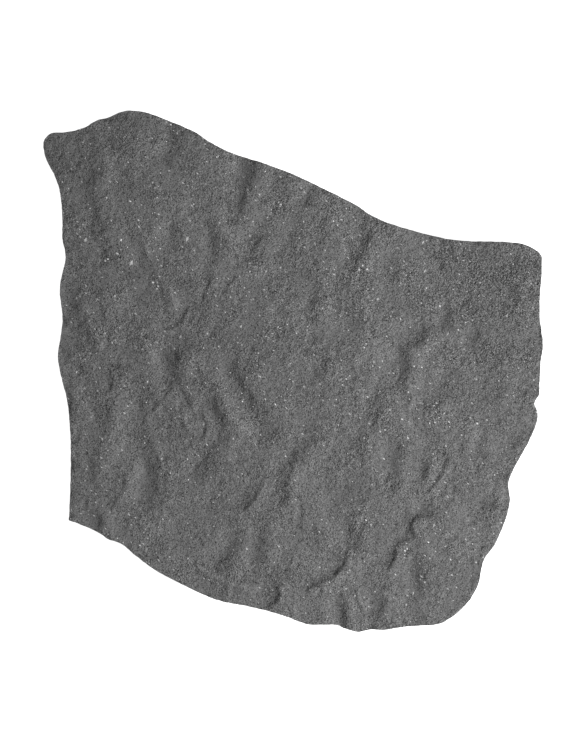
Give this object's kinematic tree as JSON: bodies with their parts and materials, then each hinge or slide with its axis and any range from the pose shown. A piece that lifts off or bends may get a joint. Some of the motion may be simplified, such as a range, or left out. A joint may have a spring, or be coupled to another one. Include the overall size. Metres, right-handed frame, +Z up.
{
  "type": "basalt stone slab",
  "caption": "Flat irregular slab of dark grey basalt with a riven top face, hammer-trimmed edges and a sawn flat back.",
  "frame": {"origin": "middle of the slab's width and length, on the plane of the sawn back", "axes": "+Z up out of the riven face, +Y along the length, +X across the width"},
  "size_m": [0.4486, 0.468, 0.0314],
  "materials": {
    "basalt": "dull riven basalt, fine grained, with sparse pale flecks; sawn on the back"
  },
  "bodies": {
    "root": {"stone_slab": "basalt"}
  },
  "joints": []
}
